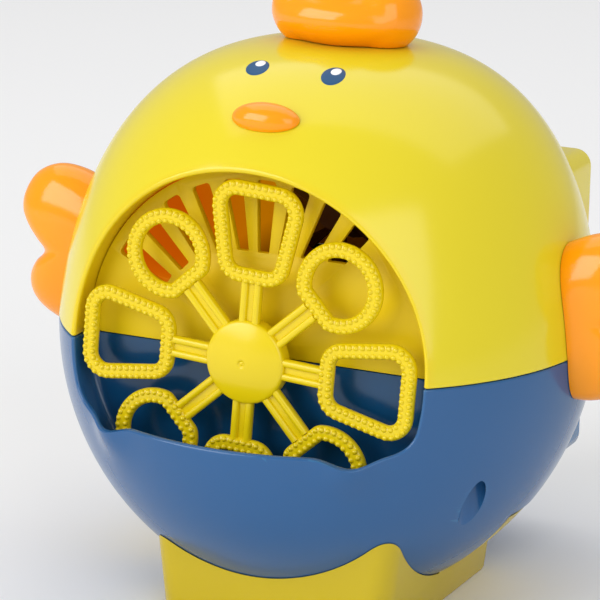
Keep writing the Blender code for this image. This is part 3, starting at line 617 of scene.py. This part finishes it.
def beads(name, line, lean, centre, offsets=(-1.3, 1.3), pitch=2.3, r=1.02, lift=1.35):
    """Rows of small domes along the ring's front face; they hold the soap solution."""
    verts, faces = [], []
    rings, seg = 6, 10
    base_p, total = resample(line, 720)
    t = np.roll(base_p, -1, 0) - np.roll(base_p, 1, 0)
    t /= np.linalg.norm(t, axis=1, keepdims=True)
    nrm = np.stack([t[:, 1], -t[:, 0]], 1)
    for row, off in enumerate(offsets):
        path = base_p + nrm * off
        pts, length = resample(path, 720)
        count = int(round(length / pitch))
        for i in range(count):
            q = pts[int(((i + 0.5 * row) / count) * 720) % 720]
            c = about_hub(q, centre, lean)
            c3 = np.array([c[0], WHEEL_Y - lift, c[1]])
            first = len(verts)
            for a in range(rings):
                lat = math.pi * (a + 0.5) / rings - math.pi / 2
                for b in range(seg):
                    lon = 2 * math.pi * b / seg
                    verts.append(c3 + [r * math.cos(lat) * math.cos(lon), 1.1 * r * math.sin(lat), r * math.cos(lat) * math.sin(lon)])
            faces += [tuple(f) for f in grid(rings, seg, wrap_c=True, first=first)]
            faces.append(tuple(range(first, first + seg)))
            faces.append(tuple(range(first + (rings - 1) * seg, first + rings * seg)))
    return make(name, verts, faces)


def bar(name, off, hw, y0, y1, r0, r1, lean, n=12, power=0.7):
    sec = section(hw, (y1 - y0) / 2, n, power)
    pts = []
    for rr in np.linspace(r0, r1, 8):
        flat = about_hub(np.stack([off + sec[:, 0], np.full(n, rr)], 1), 0.0, lean)
        pts.append(np.stack([flat[:, 0], WHEEL_Y + (y0 + y1) / 2 + sec[:, 1], flat[:, 1]], 1))
    return make(name, np.array(pts), [tuple(range(n)), tuple(range(7 * n, 8 * n))] + grid(8, n, wrap_c=True))


trap_line = rounded_polygon([(-9.5, -14.25, 5.6), (9.5, -14.25, 5.6), (14.8, 14.25, 6.1), (-14.8, 14.25, 6.1)])
chord = math.asin(10.75 / 12.55)
flat_end = 12.55 * math.cos(chord)
round_line = rounded_polygon([(-flat_end, -10.75, 1.6), (flat_end, -10.75, 1.6)] + [(12.55 * math.cos(t), 12.55 * math.sin(t), 0.3) for t in np.linspace(-chord + 0.1, math.pi + chord - 0.1, 44)], 3)
if np.sum(np.cross(trap_line, np.roll(trap_line, -1, 0))) * np.sum(np.cross(round_line, np.roll(round_line, -1, 0))) < 0:
    round_line = round_line[::-1]
parts = []
y = WHEEL_Y
hub = [(2.3, y + 4.2), (HUB_R - 1.2, y + 4.2)]
for k in range(1, 6):
    a = math.pi / 2 * k / 5
    hub.append((HUB_R - 1.2 + 1.2 * math.sin(a), y + 4.2 - 1.2 + 1.2 * math.cos(a)))
for k in range(0, 7):
    a = math.radians(60) * k / 6
    hub.append((HUB_R - 1.5 + 1.5 * math.cos(a), y - 0.9 - 1.5 * math.sin(a)))
for r in (12.4, 11.3, 10.0, 8.6, 7.2, 5.8, 4.4, 3.0, 1.9, 1.35):
    hub.append((r, y - 2.2 - 2.1 * (1 - (r / 13.25) ** 2.0)))
hub += [(1.15, y - 4.12), (0.95, y - 3.9), (0.7, y - 3.86), (0.5, y - 4.0), (0.28, y - 4.2), (0.0, y - 4.25)]
hub = [(0.0, y - 1.5), (2.3, y - 1.5)] + hub
parts.append(lathe("hub", hub, 96))
for k in range(8):
    lean = WHEEL_LEAN + 45 * k
    even = k % 2 == 0
    line, centre, far = (trap_line, TRAP_C, 27.8) if even else (round_line, ROUND_C, 30.3)
    parts.append(ring("ring", line, lean, centre))
    parts.append(beads("beads", line, lean, centre))
    for side in (-1, 1):
        parts.append(bar("rail", side * 2.3, 1.3, -1.75, 1.7, 11.0, far, lean))
    parts.append(bar("web", 0.0, 2.2, -0.5, 1.3, 11.0, far, lean, 8, 0.4))
wheel = merged("wand_wheel_visual", *parts)


# ---- soft forms: wings, comb, beak, eyes ---------------------------------------------------------
def blob(centre, radii, tilt=0.0, twist=0.0, n=48, rows=24):
    ph = np.linspace(-np.pi / 2, np.pi / 2, rows + 1)
    th = np.linspace(0, 2 * np.pi, n, endpoint=False)
    P, T = np.meshgrid(ph, th, indexing="ij")
    p = np.stack([radii[0] * np.cos(P) * np.cos(T), radii[1] * np.cos(P) * np.sin(T), radii[2] * np.sin(P)], -1)
    a = math.radians(tilt)
    rot = np.array([[math.cos(a), 0, math.sin(a)], [0, 1, 0], [-math.sin(a), 0, math.cos(a)]])
    b = math.radians(twist)
    rot = np.array([[math.cos(b), -math.sin(b), 0], [math.sin(b), math.cos(b), 0], [0, 0, 1]]) @ rot
    p = p @ rot.T + np.array(centre)
    return make("blob", p, grid(rows + 1, n, wrap_c=True), merge=0.01)


def melt(name, blobs, voxel=0.8, smooth=10):
    o = merged(name, *blobs)
    rm = o.modifiers.new("r", "REMESH")
    rm.mode, rm.voxel_size, rm.use_smooth_shade = "VOXEL", voxel * 0.001, True
    sm = o.modifiers.new("s", "SMOOTH")
    sm.factor, sm.iterations = 0.5, smooth
    return apply_all(o)


def clear_of_ball(o, radius=R + GAP):
    return boolean(o, ball_solid("cutter", radius))


def smooth_line(points, per=8):
    """Closed curve through the points."""
    p = np.array(points, float)
    out = []
    for i in range(len(p)):
        a, b, c, d = p[i - 1], p[i], p[(i + 1) % len(p)], p[(i + 2) % len(p)]
        for t in np.arange(per) / per:
            out.append(0.5 * (2 * b + (c - a) * t + (2 * a - 5 * b + 4 * c - d) * t * t + (3 * b - a - 3 * c + d) * t ** 3))
    return np.array(out)


def cushion(outline, heart, thick, rings=18, edge=3.2):
    """Soft pad: thickest in the middle, closing in a round edge along the outline (x, z)."""
    verts, n = [], len(outline)
    f = np.sin(np.linspace(0, np.pi / 2, rings + 1))[1:]
    levels = [(v, 1) for v in f] + [(v, -1) for v in f[:-1][::-1]]
    for v, sign in levels:
        h = thick * (1 - v ** edge) ** 0.5 if v < 1 else 0.0
        q = np.array(heart) + (outline - np.array(heart)) * v
        verts.append(np.stack([q[:, 0], np.full(n, -sign * h), q[:, 1]], 1))
    m = len(levels)
    pts = list(np.concatenate(verts)) + [np.array([heart[0], -thick, heart[1]]), np.array([heart[0], thick, heart[1]])]
    faces = grid(m, n, wrap_c=True)
    faces += [(i, (i + 1) % n, m * n) for i in range(n)]
    faces += [((m - 1) * n + i, (m - 1) * n + (i + 1) % n, m * n + 1) for i in range(n)]
    return make("cushion", np.array(pts), faces)


WING = [(60, 26), (72, 30), (81, 34.2), (88, 38.0), (96.5, 41.2), (105, 41.9), (112.4, 38.8), (116.9, 32.8), (118.4, 26.6), (116.4, 21.0), (112.6, 15.8), (108.8, 11.0),
        (112.6, 6.6), (115.0, 1.4), (114.6, -4.2), (111.4, -9.0), (105.6, -12.8), (98.6, -15.2), (92.0, -15.8), (85.0, -14.6), (74.0, -12), (60, -9)]
wings = []
for side, label in ((-1, "left"), (1, "right")):
    line = smooth_line(WING) * np.array([side, 1.0])
    w = melt("wing_%s_visual" % label, [cushion(line, (side * 92.0, 14.5), 12.6)], 0.7, 6)
    wings.append(clear_of_ball(w))
comb = melt("comb_visual", [blob((0, 8.6, 103.0), (26.6, 17.2, 11.0)), blob((0, 9.0, 106.0), (14.0, 14.0, 17.5)), blob((-14, 9.4, 104.2), (12.6, 13.4, 13.0), tilt=-13), blob((14, 9.4, 104.2), (12.6, 13.4, 13.0), tilt=13)], 0.7, 26)
clear_of_ball(comb)
beak = clear_of_ball(blob((0.5, -52.8, 78.2), (11.9, 6.2, 5.6), n=96, rows=48))
beak.name = "beak_visual"


def pad(name, centre, a, b, turn, thick0, thick1, n=64, rings=10):
    """Thin print on the dome: an ellipse in plan, a and b across, turned by that many degrees."""
    t = math.radians(turn)
    rows = []
    for side, q in ((1, None),):
        for k in range(rings + 1):
            f = k / rings
            rows.append((f, thick0 + (thick1 - thick0) * math.sqrt(max(1 - f ** 4, 0))))
    pts = []
    for f, h in rows:
        for i in range(n):
            c = 2 * math.pi * i / n
            u, v = a * f * math.cos(c), b * f * math.sin(c)
            pts.append((centre[0] + u * math.cos(t) - v * math.sin(t), centre[1] + u * math.sin(t) + v * math.cos(t), h))
    top = []
    for x, yy, h in pts:
        zz = centre[2]
        d = np.array([x, yy, zz])
        for _ in range(12):  # settle on the surface above that spot
            q = on_ball(d, True, R + h)
            d = np.array([x, yy, q[2] + 0.0])
        top.append(on_ball(d, True, R + h))
    under = []
    for k in range(n):
        x, yy, h = pts[rings * n + k]
        q = top[rings * n + k]
        under.append(on_ball(q, True, R - 0.15))
    centre_low = on_ball(np.mean(np.array(under), 0), True, R - 0.15)
    verts = top + under + [centre_low]
    faces = grid(rings + 1, n, wrap_c=True)
    m = (rings + 1) * n
    faces += [(rings * n + i, rings * n + (i + 1) % n, m + (i + 1) % n, m + i) for i in range(n)]
    faces += [(m + i, m + (i + 1) % n, m + n) for i in range(n)]
    return make(name, np.array(verts), faces, merge=0.01)


eyes, glints = [], []
for side, label in ((-1, "left"), (1, "right")):
    cx = side * 13.7
    eyes.append(pad("eye_%s_visual" % label, (cx, -30.6, 90.0), 5.5, 3.85, 121.0 if side < 0 else 97.0, 0.02, 0.24))
    glints.append(pad("eye_%s_glint" % label, (cx, -28.4, 91.0), 2.3, 1.75, 126.0 if side < 0 else 93.0, 0.2, 0.42, 40, 6))


# ---- materials -------------------------------------------------------------------------------------
def new_material(name):
    m = bpy.data.materials.new(name)
    m.use_nodes = True
    nt = m.node_tree
    nt.nodes.clear()
    out = nt.nodes.new("ShaderNodeOutputMaterial")
    bsdf = nt.nodes.new("ShaderNodeBsdfPrincipled")
    nt.links.new(bsdf.outputs["BSDF"], out.inputs["Surface"])
    coord = nt.nodes.new("ShaderNodeTexCoord")
    return m, nt, bsdf, coord


def noise(nt, coord, scale, detail=3.0, rough=0.5):
    n = nt.nodes.new("ShaderNodeTexNoise")
    n.inputs["Scale"].default_value = scale
    n.inputs["Detail"].default_value = detail
    n.inputs["Roughness"].default_value = rough
    nt.links.new(coord.outputs["Object"], n.inputs["Vector"])
    return n


def mapped(nt, source, lo, hi, f0=0.3, f1=0.7):
    r = nt.nodes.new("ShaderNodeMapRange")
    r.inputs["From Min"].default_value, r.inputs["From Max"].default_value = f0, f1
    r.inputs["To Min"].default_value, r.inputs["To Max"].default_value = lo, hi
    nt.links.new(source, r.inputs["Value"])
    return r.outputs["Result"]


def plastic(name, colour, deep, rough=(0.2, 0.3), peel=0.05, sss=0.0, ior=1.5, scale=9.0, grain=420.0, coat=0.0, depth=0.003, spec=0.5):
    """Moulded plastic: faint cloudy colour, uneven gloss and a slight orange peel."""
    m, nt, b, co = new_material(name)
    cloud = noise(nt, co, scale, 2.0)
    ramp = nt.nodes.new("ShaderNodeValToRGB")
    ramp.color_ramp.elements[0].position, ramp.color_ramp.elements[1].position = 0.3, 0.72
    ramp.color_ramp.elements[0].color, ramp.color_ramp.elements[1].color = (*deep, 1), (*colour, 1)
    nt.links.new(cloud.outputs["Fac"], ramp.inputs["Fac"])
    nt.links.new(ramp.outputs["Color"], b.inputs["Base Color"])
    smudge = noise(nt, co, 14.0, 2.0, 0.5)
    nt.links.new(mapped(nt, smudge.outputs["Fac"], rough[0], rough[1]), b.inputs["Roughness"])
    fine = noise(nt, co, grain, 2.0)
    bump = nt.nodes.new("ShaderNodeBump")
    bump.inputs["Strength"].default_value = peel
    bump.inputs["Distance"].default_value = 0.0002
    nt.links.new(fine.outputs["Fac"], bump.inputs["Height"])
    nt.links.new(bump.outputs["Normal"], b.inputs["Normal"])
    b.inputs["IOR"].default_value = ior
    b.inputs["Specular IOR Level"].default_value = spec
    if sss:
        b.inputs["Subsurface Weight"].default_value = sss
        b.inputs["Subsurface Radius"].default_value = (1.0, 0.5, 0.06)
        b.inputs["Subsurface Scale"].default_value = depth
    if coat:
        b.inputs["Coat Weight"].default_value = coat
        b.inputs["Coat Roughness"].default_value = 0.08
    return m


def axis_distance(nt, co):
    """Distance from the wheel's axis, in metres."""
    flat = nt.nodes.new("ShaderNodeVectorMath")
    flat.operation = "MULTIPLY_ADD"
    flat.inputs[1].default_value = (1.0, 0.0, 1.0)
    flat.inputs[2].default_value = (0.0, 0.0, -SEAM_Z * 0.001)
    nt.links.new(co.outputs["Object"], flat.inputs[0])
    d = nt.nodes.new("ShaderNodeVectorMath")
    d.operation = "LENGTH"
    nt.links.new(flat.outputs["Vector"], d.inputs[0])
    return d.outputs["Value"]


def painted_recess_shade(m, deep):
    """Painted shade: inside the round recess, where light reaches only off other yellow walls, the colour is mixed
    towards a deeper, warmer yellow.
    """
    nt = m.node_tree
    b = next(n for n in nt.nodes if n.type == "BSDF_PRINCIPLED")
    co = next(n for n in nt.nodes if n.type == "TEX_COORD")
    source = b.inputs["Base Color"].links[0].from_socket
    mix = nt.nodes.new("ShaderNodeMix")
    mix.data_type = "RGBA"
    nt.links.new(mapped(nt, axis_distance(nt, co), 0.85, 0.0, 0.0625, 0.0665), mix.inputs[0])
    nt.links.new(source, mix.inputs[6])
    mix.inputs[7].default_value = (*deep, 1)
    nt.links.new(mix.outputs[2], b.inputs["Base Color"])
    return m


def shaded_wall(m, deep):
    """The part of the recess's wall behind the wheel, which the lip and the wands keep in shade."""
    nt = m.node_tree
    b = next(n for n in nt.nodes if n.type == "BSDF_PRINCIPLED")
    co = next(n for n in nt.nodes if n.type == "TEX_COORD")
    source = b.inputs["Base Color"].links[0].from_socket
    cut = nt.nodes.new("ShaderNodeSeparateXYZ")
    nt.links.new(co.outputs["Object"], cut.inputs["Vector"])
    both = nt.nodes.new("ShaderNodeMath")
    both.operation = "MULTIPLY"
    nt.links.new(mapped(nt, axis_distance(nt, co), 0.9, 0.0, 0.0600, 0.0625), both.inputs[0])
    nt.links.new(mapped(nt, cut.outputs["Y"], 0.0, 1.0, -0.0690, -0.0640), both.inputs[1])
    mix = nt.nodes.new("ShaderNodeMix")
    mix.data_type = "RGBA"
    nt.links.new(both.outputs[0], mix.inputs[0])
    nt.links.new(source, mix.inputs[6])
    mix.inputs[7].default_value = (*deep, 1)
    nt.links.new(mix.outputs[2], b.inputs["Base Color"])
    return m


def painted_edge_highlight(m, colour, low, high, amount):
    """Painted highlight: convex edges of the moulding, found by their pointiness, get a paler colour, standing in for
    light showing through thin edges.
    """
    nt = m.node_tree
    b = next(n for n in nt.nodes if n.type == "BSDF_PRINCIPLED")
    source = b.inputs["Base Color"].links[0].from_socket
    geo = nt.nodes.new("ShaderNodeNewGeometry")
    mix = nt.nodes.new("ShaderNodeMix")
    mix.data_type = "RGBA"
    nt.links.new(mapped(nt, geo.outputs["Pointiness"], 0.0, amount, low, high), mix.inputs[0])
    nt.links.new(source, mix.inputs[6])
    mix.inputs[7].default_value = (*colour, 1)
    nt.links.new(mix.outputs[2], b.inputs["Base Color"])
    return m


def painted_backlight_glow(name, colour, deep, glows, strength):
    """Yellow plastic seen from inside, with a painted glow: an emission, stronger towards -X and higher up, stands in
    for room light coming through the thin shell on the side that faces the lamp.
    """
    m = plastic(name, colour, deep, (0.35, 0.5), spec=0.12)
    nt = m.node_tree
    b = next(n for n in nt.nodes if n.type == "BSDF_PRINCIPLED")
    co = next(n for n in nt.nodes if n.type == "TEX_COORD")
    cut = nt.nodes.new("ShaderNodeSeparateXYZ")
    nt.links.new(co.outputs["Object"], cut.inputs["Vector"])
    ramp = nt.nodes.new("ShaderNodeValToRGB")
    ramp.color_ramp.elements[0].color, ramp.color_ramp.elements[1].color = (*glows[0], 1), (*glows[1], 1)
    nt.links.new(mapped(nt, cut.outputs["X"], 0.0, 1.0, -0.040, -0.012), ramp.inputs["Fac"])
    nt.links.new(ramp.outputs["Color"], b.inputs["Emission Color"])
    slope = nt.nodes.new("ShaderNodeVectorMath")
    slope.operation = "DOT_PRODUCT"
    slope.inputs[1].default_value = (-0.9, 0.0, 1.0)
    nt.links.new(co.outputs["Object"], slope.inputs[0])
    nt.links.new(mapped(nt, slope.outputs["Value"], 0.0, strength, SEAM_Z * 0.001 + 0.036, SEAM_Z * 0.001 + 0.052), b.inputs["Emission Strength"])
    return m


def metal(name, colour, rough=(0.22, 0.42), grain=900.0):
    m, nt, b, co = new_material(name)
    fine = noise(nt, co, grain, 3.0)
    ramp = nt.nodes.new("ShaderNodeValToRGB")
    ramp.color_ramp.elements[0].color = (*[c * 0.75 for c in colour], 1)
    ramp.color_ramp.elements[1].color = (*colour, 1)
    nt.links.new(fine.outputs["Fac"], ramp.inputs["Fac"])
    nt.links.new(ramp.outputs["Color"], b.inputs["Base Color"])
    nt.links.new(mapped(nt, fine.outputs["Fac"], *rough), b.inputs["Roughness"])
    b.inputs["Metallic"].default_value = 1.0
    return m


MATS = {
    # yellow plastic with painted shade: deeper and warmer inside the round recess
    "yellow_plastic": painted_recess_shade(plastic("yellow_abs", (0.765, 0.640, 0.020), (0.750, 0.615, 0.016), (0.14, 0.2)), (0.770, 0.545, 0.000)),
    # painted shade: a darker copy of the yellow plastic for the stand
    "base": plastic("base_yellow", (0.560, 0.420, 0.003), (0.540, 0.395, 0.002), (0.2, 0.28)),
    # painted shade: a deeper, warmer, rougher copy of the yellow plastic for the grille panel at the back of the recess
    "grille": plastic("grille_yellow", (0.780, 0.580, 0.000), (0.750, 0.540, 0.000), (0.38, 0.5), peel=0.08, spec=0.3),
    "wheel_plastic": plastic("wheel_yellow", (0.785, 0.605, 0.003), (0.765, 0.575, 0.002), (0.2, 0.28), peel=0.08),
    # blue plastic with painted shade on the recess wall behind the wheel and a painted highlight, paler blue, on convex
    # edges
    "blue_plastic": painted_edge_highlight(shaded_wall(plastic("blue_abs", (0.020, 0.104, 0.275), (0.018, 0.096, 0.258), (0.15, 0.22)), (0.002, 0.050, 0.140)), (0.045, 0.260, 0.480), 0.515, 0.56, 0.25),
    "orange_plastic": plastic("orange_vinyl", (1.0, 0.340, 0.0), (0.975, 0.312, 0.0), (0.12, 0.18)),
    "eye_print": plastic("eye_blue", (0.001, 0.075, 0.205), (0.001, 0.066, 0.180), (0.4, 0.5), peel=0.02, spec=0.3),
    # painted shade and painted light: the duct's yellow plastic given a dark orange-brown colour for the shade inside
    # the body, plus the painted glow
    "duct": painted_backlight_glow("yellow_inside", (0.36, 0.15, 0.003), (0.30, 0.12, 0.002), ((0.50, 0.075, 0.0), (0.52, 0.24, 0.0)), 0.75),
    "white_plastic": plastic("white_pom", (0.80, 0.79, 0.76), (0.74, 0.73, 0.70), (0.35, 0.48)),
    "black_plastic": plastic("black_abs", (0.022, 0.022, 0.024), (0.015, 0.015, 0.017), (0.3, 0.45)),
    "steel": metal("zinc_steel", (0.62, 0.62, 0.63)),
    "brass": metal("brass_metal", (0.72, 0.52, 0.22)),
    "motor_can": metal("motor_steel", (0.58, 0.58, 0.60), (0.3, 0.5)),
    "cell": plastic("cell_sleeve", (0.05, 0.06, 0.08), (0.035, 0.04, 0.055), (0.25, 0.4)),
    "board": plastic("board_green", (0.02, 0.16, 0.07), (0.015, 0.12, 0.05), (0.3, 0.45)),
    "unlit_white": plastic("blower_in_shade", (0.070, 0.042, 0.010), (0.055, 0.033, 0.008), (0.4, 0.5), spec=0.2),
    "glint": plastic("print_white", (0.9, 0.9, 0.9), (0.86, 0.86, 0.86), (0.3, 0.4), peel=0.02),
}


def dress(o, slot, angle=35.0, smooth=True):
    o.data.materials.clear()
    o.data.materials.append(MATS[slot])
    o.name = o.name
    if smooth:
        shade(o, angle)


def piece(o, body, nodes, slot, mat=None, angle=35.0):
    dress(o, mat or slot, angle)
    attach(o, body)
    if nodes:
        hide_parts(*nodes)
    return o


# the CAD nodes that stay take their slot's material
node_slot = {}
for part in frame["record"].get("parts", []) or []:
    if "node" in part and "material_slot" in part:
        node_slot[part["node"]] = part["material_slot"]
for name, o in frame["nodes"].items():
    slot = node_slot.get(name)
    if slot is None:
        for m in frame["record"]["materials"]:
            used = m.get("nodes") or []
            if name in used:
                slot = m["slot"]
    if slot is None:
        mat_name = o.material_slots[0].material.name if o.material_slots and o.material_slots[0].material else ""
        slot = next((s for s in MATS if s in mat_name), "white_plastic")
    for ms in o.material_slots:
        ms.material = MATS[{"fan_duct": "duct", "fan_impeller": "unlit_white", "fan_motor_bracket": "unlit_white"}.get(name, slot)]

piece(upper, "body", ["upper_shell"], "yellow_plastic", angle=32)
piece(lower, "body", ["lower_shell"], "blue_plastic", angle=32)
piece(base, "body", ["base"], "yellow_plastic", mat="base", angle=32)
piece(panel, "body", ["grille_panel"], "yellow_plastic", mat="grille", angle=32)
piece(duct, "body", ["fan_duct"], "yellow_plastic", mat="duct", angle=40)
piece(wheel, "wheel", ["wand_wheel"], "wheel_plastic", angle=50)
piece(beak, "body", ["beak"], "orange_plastic", angle=60)
piece(comb, "body", ["comb"], "orange_plastic", angle=60)
piece(wings[0], "body", ["wing_left"], "orange_plastic", angle=60)
piece(wings[1], "body", ["wing_right"], "orange_plastic", angle=60)
piece(eyes[0], "body", ["eye_left"], "eye_print", angle=60)
piece(eyes[1], "body", ["eye_right"], "eye_print", angle=60)
for g in glints:
    piece(g, "body", [], "eye_print", mat="glint", angle=60)


# ---- floor, light, camera -----------------------------------------------------------------------------
def stage_floor():
    n = 24
    u = np.linspace(-1, 1, n)
    pts = [(x * 6000, y * 6000 + 1500, -SEAM_Z) for y in u for x in u]
    o = make("floor", np.array(pts), grid(n, n))
    m, nt, b, co = new_material("floor_paper")
    cloud = noise(nt, co, 1.5, 2.0)
    ramp = nt.nodes.new("ShaderNodeValToRGB")
    ramp.color_ramp.elements[0].color = (0.85, 0.85, 0.855, 1)
    ramp.color_ramp.elements[1].color = (0.87, 0.87, 0.875, 1)
    nt.links.new(cloud.outputs["Fac"], ramp.inputs["Fac"])
    nt.links.new(ramp.outputs["Color"], b.inputs["Base Color"])
    b.inputs["Roughness"].default_value = 0.75
    b.inputs["Specular IOR Level"].default_value = 0.2
    o.data.materials.append(m)


stage_floor()
world = bpy.data.worlds.new("studio")
world.use_nodes = True
bg = world.node_tree.nodes["Background"]
bg.inputs["Color"].default_value = (1.0, 1.0, 1.0, 1)
bg.inputs["Strength"].default_value = 0.47
bpy.context.scene.world = world


def area(name, place, aim, size, power, colour=(1, 1, 1)):
    data = bpy.data.lights.new(name, "AREA")
    data.shape, data.size, data.size_y = "RECTANGLE", size[0], size[1]
    data.energy, data.color = power, colour
    o = bpy.data.objects.new(name, data)
    bpy.context.scene.collection.objects.link(o)
    o.location = place
    o.rotation_mode = "QUATERNION"
    o.rotation_quaternion = (Vector(aim) - Vector(place)).to_track_quat("-Z", "Y")
    return o


area("key", (-1.2, -1.75, 1.1), (0, 0, 0.1), (1.7, 1.6), 34)
area("front", (1.35, -1.2, 0.85), (0, 0, 0.11), (1.2, 1.5), 11)
area("top", (-0.1, 1.0, 1.9), (0, 0.6, 0), (3.2, 2.2), 22)

cam_data = bpy.data.cameras.new("camera")
cam = bpy.data.objects.new("camera", cam_data)
bpy.context.scene.collection.objects.link(cam)
cam_data.sensor_width, cam_data.lens = 36.0, 195.2
cam_data.shift_x, cam_data.shift_y = -0.0472, 0.0279
cam_data.clip_start, cam_data.clip_end = 0.05, 50.0
roll = math.radians(1.33023)
fwd = Vector((-0.39936, 0.87845, -0.26238)).normalized()
right = Vector((0.91034, 0.41386, 0.0)).normalized()
up = right.cross(fwd).normalized()
right2 = right * math.cos(roll) + up * math.sin(roll)
up2 = -right * math.sin(roll) + up * math.cos(roll)
m = Matrix((right2, up2, -fwd)).transposed().to_4x4()
m.translation = Vector((0.44416, -0.98141, 0.38531))
cam.matrix_world = m
bpy.context.scene.camera = cam
bpy.context.scene.view_settings.view_transform = "Standard"
